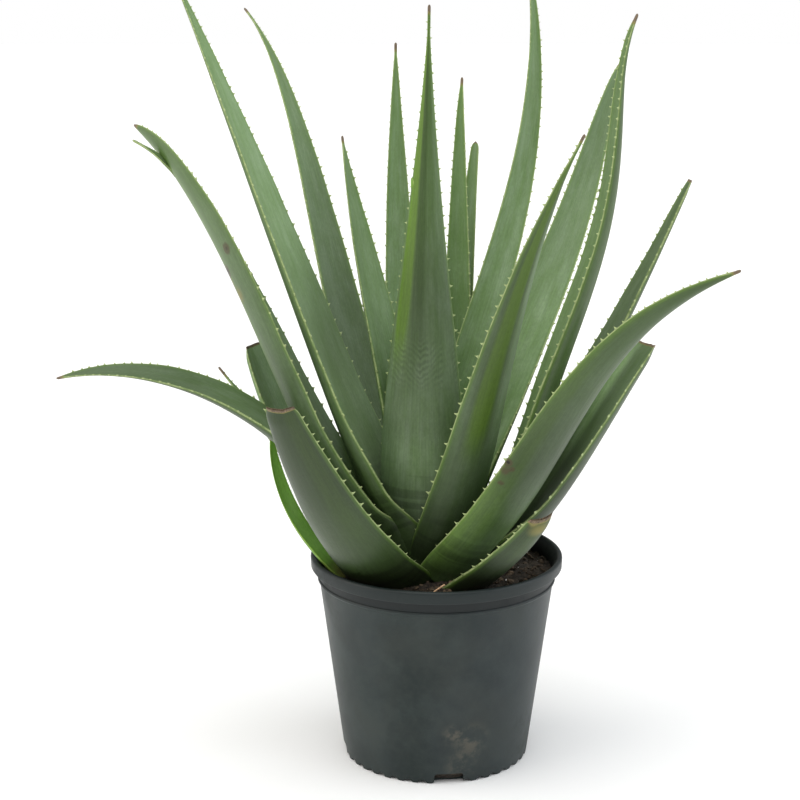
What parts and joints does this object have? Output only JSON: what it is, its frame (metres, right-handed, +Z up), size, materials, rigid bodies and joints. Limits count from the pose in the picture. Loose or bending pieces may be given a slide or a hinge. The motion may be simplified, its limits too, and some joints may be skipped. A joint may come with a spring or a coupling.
{
  "type": "potted aloe plant",
  "caption": "Large aloe: a rosette of thick toothed leaves on a short stem, rooted in potting mix in a round plastic grower's pot.",
  "frame": {"origin": "centre of the pot's flat underside", "axes": "+Z up along the pot's axis, +X to the right and +Y away from the viewer in the picture"},
  "size_m": [0.5748, 0.5759, 0.7256],
  "materials": {
    "pot": "matte, dusty, slate grey-green thin moulded plastic",
    "soil": "loose damp bark and peat mix",
    "stem": "dull fibrous",
    "leaf": "waxy grey-green skin with a dull bloom and pale teeth",
    "pup_leaf": "waxy brighter green skin"
  },
  "bodies": {
    "root": {"pot": "pot", "soil": "soil", "stem": "stem", "leaf_front_centre": "leaf", "leaf_front_right": "leaf", "leaf_right_tall": "leaf", "leaf_right_narrow": "leaf", "leaf_right_sweeping": "leaf", "leaf_right_cut": "leaf", "leaf_right_low_cut": "leaf", "leaf_front_stub": "leaf", "leaf_left_cut": "leaf", "leaf_left_arching": "leaf", "leaf_left_forked": "leaf", "leaf_left_long": "leaf", "leaf_left_inner": "leaf", "leaf_back_left": "leaf", "leaf_back_centre": "leaf", "leaf_back_right": "leaf", "leaf_back_blunt": "leaf", "leaf_inner_right": "leaf", "leaf_left_short_cut": "leaf", "leaf_left_small": "leaf", "leaf_heart": "leaf", "leaf_rear_arching": "leaf", "leaf_rear_right_cut": "leaf", "leaf_rear_left": "leaf", "leaf_rear_low": "leaf", "pup_leaf": "pup_leaf"}
  },
  "joints": []
}
